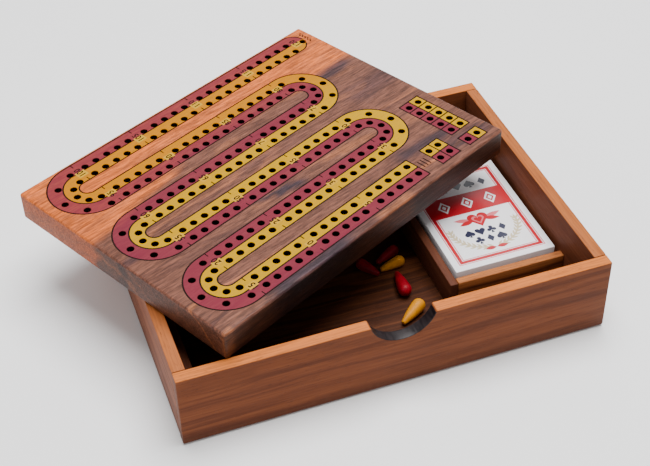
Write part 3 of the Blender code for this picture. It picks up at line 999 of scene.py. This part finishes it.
# suits, pitch, size and height of each row of small marks
SUIT_ROWS = ((("spade", "heart", "club", "diamond"), 7.2, 6.6, -16.8),
             (("club", "diamond", "spade"), 7.2, 6.6, -24.0),
             (("diamond", "club", "heart", "spade", "diamond"), 8.6, 7.2, 27.5))
WREATH_Y = -13.0
WREATH_REACH = Vector((21.5, 18.5))
WREATH_TWIGS = 10
FOOT_LEAF_Y = -32.6


def card_material(name, colour):
    """Coated printed card with faint mottling."""
    nodes = Nodes(name, 0.32, coat=0.25, coat_roughness=0.15)
    mottle = nodes.noise((7, 7, 7))
    tint = nodes.mix(nodes.smooth(mottle, 0.3, 0.7, 0.0, 0.10), colour, tuple(c * 0.7 for c in colour))
    return nodes.finish(tint, bump=nodes.noise((0.5, 0.5, 0.5), detail=2), bump_depth=0.01)


def footed(right, top, neck):
    """Outline of a suit with a foot: its right lobe, its top and the lobe mirrored."""
    left = [(-x, y) for x, y in reversed(right)]
    return [(-0.16, -0.5), (0.16, -0.5), (0.03, -neck)] + right + top + left + [(-0.03, -neck)]


def suit_outline(suit):
    """Closed outline of a card suit, about one unit high, round the origin, pointing up."""
    if suit == "diamond":
        return [(0, -0.5), (0.36, 0), (0, 0.5), (-0.36, 0)]
    if suit == "heart":
        right = arc((0.25, 0.18), 0.255, -35, 180, 12)[:-1]
        return [(0, -0.5)] + right + arc((-0.25, 0.18), 0.255, 0, 215, 12)
    if suit == "spade":
        return footed(arc((0.25, -0.10), 0.25, -150, 35, 12), [(0, 0.5)], 0.2)
    return footed(arc((0.25, -0.06), 0.2, -165, 110, 12), arc((0, 0.27), 0.2, -50, 230, 14), 0.12)


def suit_at(suit, size, x, y):
    return [(x + px * size, y + py * size) for px, py in suit_outline(suit)]


def leaf_outline(x, y, angle, length, width):
    """Pointed leaf from its stalk end, each side drawn in six steps."""
    turn = math.radians(angle)
    points = []
    for side, steps in ((1, range(0, 7)), (-1, range(5, 0, -1))):
        for step in steps:
            along = length * step / 6
            across = side * width / 2 * math.sin(math.pi * step / 6)
            points.append((x + along * math.cos(turn) - across * math.sin(turn),
                           y + along * math.sin(turn) + across * math.cos(turn)))
    return points


def emblem_art():
    """A heart between two pairs of leaves."""
    art = []
    for side in (-1, 1):
        for tilt, length, colour in WINGS:
            angle = tilt if side > 0 else 180 - tilt
            art.append((leaf_outline(side * 3.0, EMBLEM_Y, angle, length, 3.6), colour))
    return art + [(suit_at("heart", size, 0, EMBLEM_Y), colour) for size, colour in HEARTS]


def wreath_art():
    """Two curved sprays of pale gold leaves, open at the top."""
    art = []
    for side in (-1, 1):
        for index in range(WREATH_TWIGS):
            degrees = -86 + 84 * index / (WREATH_TWIGS - 1)
            turn = math.radians(degrees)
            x = side * WREATH_REACH.x * math.cos(turn)
            y = WREATH_Y + WREATH_REACH.y * math.sin(turn)
            for spread in (-34, 0, 34):
                angle = degrees + 90 + spread
                art.append((leaf_outline(x, y, angle if side > 0 else 180 - angle, 4.6, 1.3), GOLD_PRINT))
    return art


def carton_art(half_x, half_y):
    """(outline, colour) of the printed areas in painting order: later ones lie on top."""
    art = [(rectangle(inset - half_x, inset - half_y, half_x - inset, half_y - inset), colour)
           for inset, colour in FRAMES]
    art.append((rectangle(BAND_INSET - half_x, BAND_FRONT, half_x - BAND_INSET, BAND_BACK), RED_PRINT))
    for index in (-1, 0, 1):
        for size, colour in DIAMONDS:
            x, y = index * DIAMOND_PITCH, (BAND_FRONT + BAND_BACK) / 2
            art.append((suit_at("diamond", size, x, y), colour))
    art += emblem_art()
    for suits, pitch, size, y in SUIT_ROWS:
        for index, suit in enumerate(suits):
            x = (index - (len(suits) - 1) / 2) * pitch
            art.append((suit_at(suit, size, x, y), DARK_PRINT))
    art += wreath_art()
    art += [(leaf_outline(0, FOOT_LEAF_Y, angle, 7.5, 3.0), RED_PRINT) for angle in (180, 0)]
    return [([(x * MM, y * MM) for x, y in outline], colour) for outline, colour in art]


def build_carton():
    """The tuck carton as one closed mesh, its top cut along the printed outlines."""
    low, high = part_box("card_carton")
    half = (high - low) / 2
    art = carton_art(half.x / MM, half.y / MM)
    shape, faces = cut_block(half, CARTON_CORNER, CARTON_EDGE, CARTON_EDGE_STEPS, CARTON_EDGE_SPACING,
                             [(outline, True) for outline, _ in art], lambda place: half.z)
    for face in faces:
        middle = face.calc_center_median()
        for outline, colour in art:
            if inside_outline(middle.x, middle.y, outline):
                face.material_index = colour
    materials = [card_material(name, colour) for name, colour in PRINTS]
    add_piece("card_carton_printed", shape, materials, "card_pack", "card_carton",
              Matrix.Translation((low + high) / 2))


def finish_deck():
    """Edge lines of the single cards on the deck that the carton hides."""
    nodes = Nodes("card_edges", 0.55)
    sheets = nodes.noise_along(nodes.math("DIVIDE", nodes.z, SHEET), detail=1)
    colour = nodes.ramp(sheets, (0.35, (0.52, 0.50, 0.47)), (0.55, (0.86, 0.84, 0.80)))
    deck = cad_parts["card_deck"]
    deck.data.materials.clear()
    deck.data.materials.append(nodes.finish(colour, bump=sheets, bump_depth=0.04))


# ---- pegs
PEG_TIP = 1.4 * MM
PEG_TIP_DEPTH = 0.35 * MM            # length of the rounding at the tip
PEG_FULLNESS = 1.6                   # above 1 the taper bulges, as on a drop
PEG_BELLY = 0.35                     # share of the taper at which a lying peg touches the floor
PEG_SIDES = 40
HEAD_STEPS = 12
TAPER_STEPS = 15
TIP_STEPS = 4
# CAD node, x and y of the fat end's centre, heading of the tip, length and diameter (mm)
PEGS = (
    ("peg_red_1", 10.2, -5.0, -54.4, 16.5, 7.0),
    ("peg_red_2", 32.9, -0.4, -157.5, 17.5, 7.1),
    ("peg_red_3", 26.2, -36.0, 84.0, 22.0, 8.2),
    ("peg_yellow_1", 32.7, -10.7, -172.8, 16.5, 7.1),
    ("peg_yellow_2", 28.5, -51.2, -146.9, 20.0, 8.2),
    ("peg_yellow_3", -31.0, 15.0, 24.0, 18.0, 7.2),
)
# thin and pooled lacquer
LACQUERS = {
    "red": ((0.27, 0.003, 0.012), (0.14, 0.001, 0.006)),
    "yellow": ((0.56, 0.21, 0.0003), (0.42, 0.15, 0.0003)),
}


def lacquer(name, thin, thick):
    """Coloured lacquer over turned wood, pooled a little darker in faint rings."""
    nodes = Nodes(name, 0.55, coat=0.12, coat_roughness=0.25, specular=0.08)
    turned = nodes.noise_along(nodes.times(nodes.x, 1.3), detail=2)
    cloud = nodes.noise((6, 2.5, 2.5))
    colour = nodes.mix(nodes.smooth(cloud, 0.3, 0.75), thin, thick)
    colour = nodes.mix(nodes.smooth(turned, 0.5, 0.8, 0.0, 0.30), colour, thick)
    return nodes.finish(colour, bump=turned, bump_depth=0.03)


def peg_profile(length, radius):
    """(distance from the fat end's centre, radius) down the peg, with a rounded tip."""
    taper = length - radius
    head = [(-radius * cosine, radius * sine) for sine, cosine in quarter_turn(HEAD_STEPS)]
    parts = [step / TAPER_STEPS for step in range(1, TAPER_STEPS)]
    body = [(part * taper, PEG_TIP + (radius - PEG_TIP) * (1 - part ** PEG_FULLNESS)) for part in parts]
    tip = [(taper - PEG_TIP_DEPTH * (1 - sine), PEG_TIP * (0.7 + 0.3 * cosine))
           for sine, cosine in quarter_turn(TIP_STEPS)]
    return head + body + tip


def peg_shape(profile, radius):
    """A profile turned round the x axis, closed by a crown and a flat tip."""
    shape = bmesh.new()
    rings = [[(along, y, z) for y, z in arc((0, 0), girth, 0, 360, PEG_SIDES)[:-1]]
             for along, girth in profile]
    first = ring = [shape.verts.new(place) for place in rings[0]]
    for places in rings[1:]:
        ring = add_ring(shape, ring, places)
    shape.faces.new(ring)
    crown = shape.verts.new((-radius, 0, 0))
    for side in range(PEG_SIDES):
        shape.faces.new((crown, first[side], first[(side + 1) % PEG_SIDES]))
    return shape


def build_peg(node, x, y, heading, length, diameter, material):
    """A peg lying on its belly, so that its tip hangs a little."""
    _, colour, number = node.split("_")
    length, radius = length * MM, diameter / 2 * MM
    profile = peg_profile(length, radius)
    steepness = PEG_FULLNESS * PEG_BELLY ** (PEG_FULLNESS - 1)
    dip = math.atan((radius - PEG_TIP) / (length - radius) * steepness)
    height = max(girth * math.cos(dip) + along * math.sin(dip) for along, girth in profile)
    place = (Matrix.Translation((x * MM, y * MM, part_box(node)[0].z + height))
             @ Matrix.Rotation(math.radians(heading), 4, "Z") @ Matrix.Rotation(dip, 4, "Y"))
    add_piece(node + "_turned", peg_shape(profile, radius), (material,), f"{colour}_peg_{number}",
              node, place, smooth_angle=60)


def build_pegs():
    materials = {colour: lacquer(colour + "_lacquer", *tints) for colour, tints in LACQUERS.items()}
    for node, *numbers in PEGS:
        build_peg(node, *numbers, materials[node.split("_")[1]])


# ---- studio
FLOOR_HALF = 6.0
LIGHT_AIM = Vector((0, 0, 0.03))
# name, place, size and power in watts
LIGHTS = (
    ("overhead", (0.15, 0.10, 1.35), 1.1, 38.0),
    ("left_fill", (-1.3, -0.8, 0.6), 1.0, 6.0),
    ("back", (0.5, 1.3, 0.9), 1.0, 3.0),
)
WORLD_STRENGTH = 0.42
CAMERA_PLACE = Vector((-0.2045, -0.5656, 0.5644))
CAMERA_AZIMUTH = 18.89               # from +Y towards +X
CAMERA_DROP = 41.32                  # below the horizon
CAMERA_ROLL = -1.52
LENS = 74.0                          # focal length, on a sensor 36 mm wide
SENSOR = 36.0


def build_floor():
    nodes = Nodes("studio_floor", 0.75, specular=0.2)
    cloud = nodes.smooth(nodes.noise((400, 400, 400), detail=2), 0.3, 0.7)
    shape = bmesh.new()
    bmesh.ops.create_grid(shape, x_segments=4, y_segments=4, size=FLOOR_HALF)
    material = nodes.finish(nodes.mix(cloud, (0.93, 0.93, 0.935), (0.95, 0.95, 0.95)))
    link_mesh("studio_floor", shape, (material,))


def build_lights():
    for name, place, size, power in LIGHTS:
        data = bpy.data.lights.new(name, "AREA")
        data.shape = "DISK"
        data.size = size
        data.energy = power
        lamp = link_object(name, data)
        lamp.location = place
        lamp.rotation_euler = (LIGHT_AIM - Vector(place)).to_track_quat("-Z", "Y").to_euler()
    world = bpy.data.worlds.new("studio")
    world.use_nodes = True
    background = world.node_tree.nodes["Background"]
    background.inputs["Color"].default_value = (1.0, 1.0, 1.0, 1.0)
    background.inputs["Strength"].default_value = WORLD_STRENGTH
    bpy.context.scene.world = world


def build_camera():
    data = bpy.data.cameras.new("camera")
    data.lens = LENS
    data.sensor_width = SENSOR
    camera = link_object("camera", data)
    camera.matrix_world = (Matrix.Translation(CAMERA_PLACE)
                           @ Matrix.Rotation(math.radians(-CAMERA_AZIMUTH), 4, "Z")
                           @ Matrix.Rotation(math.radians(90 - CAMERA_DROP), 4, "X")
                           @ Matrix.Rotation(math.radians(CAMERA_ROLL), 4, "Z"))
    bpy.context.scene.camera = camera


def main():
    build_camera()
    build_lights()
    build_floor()
    build_box()
    build_playing_board(BoardPlan())
    build_carton()
    finish_deck()
    build_pegs()


main()
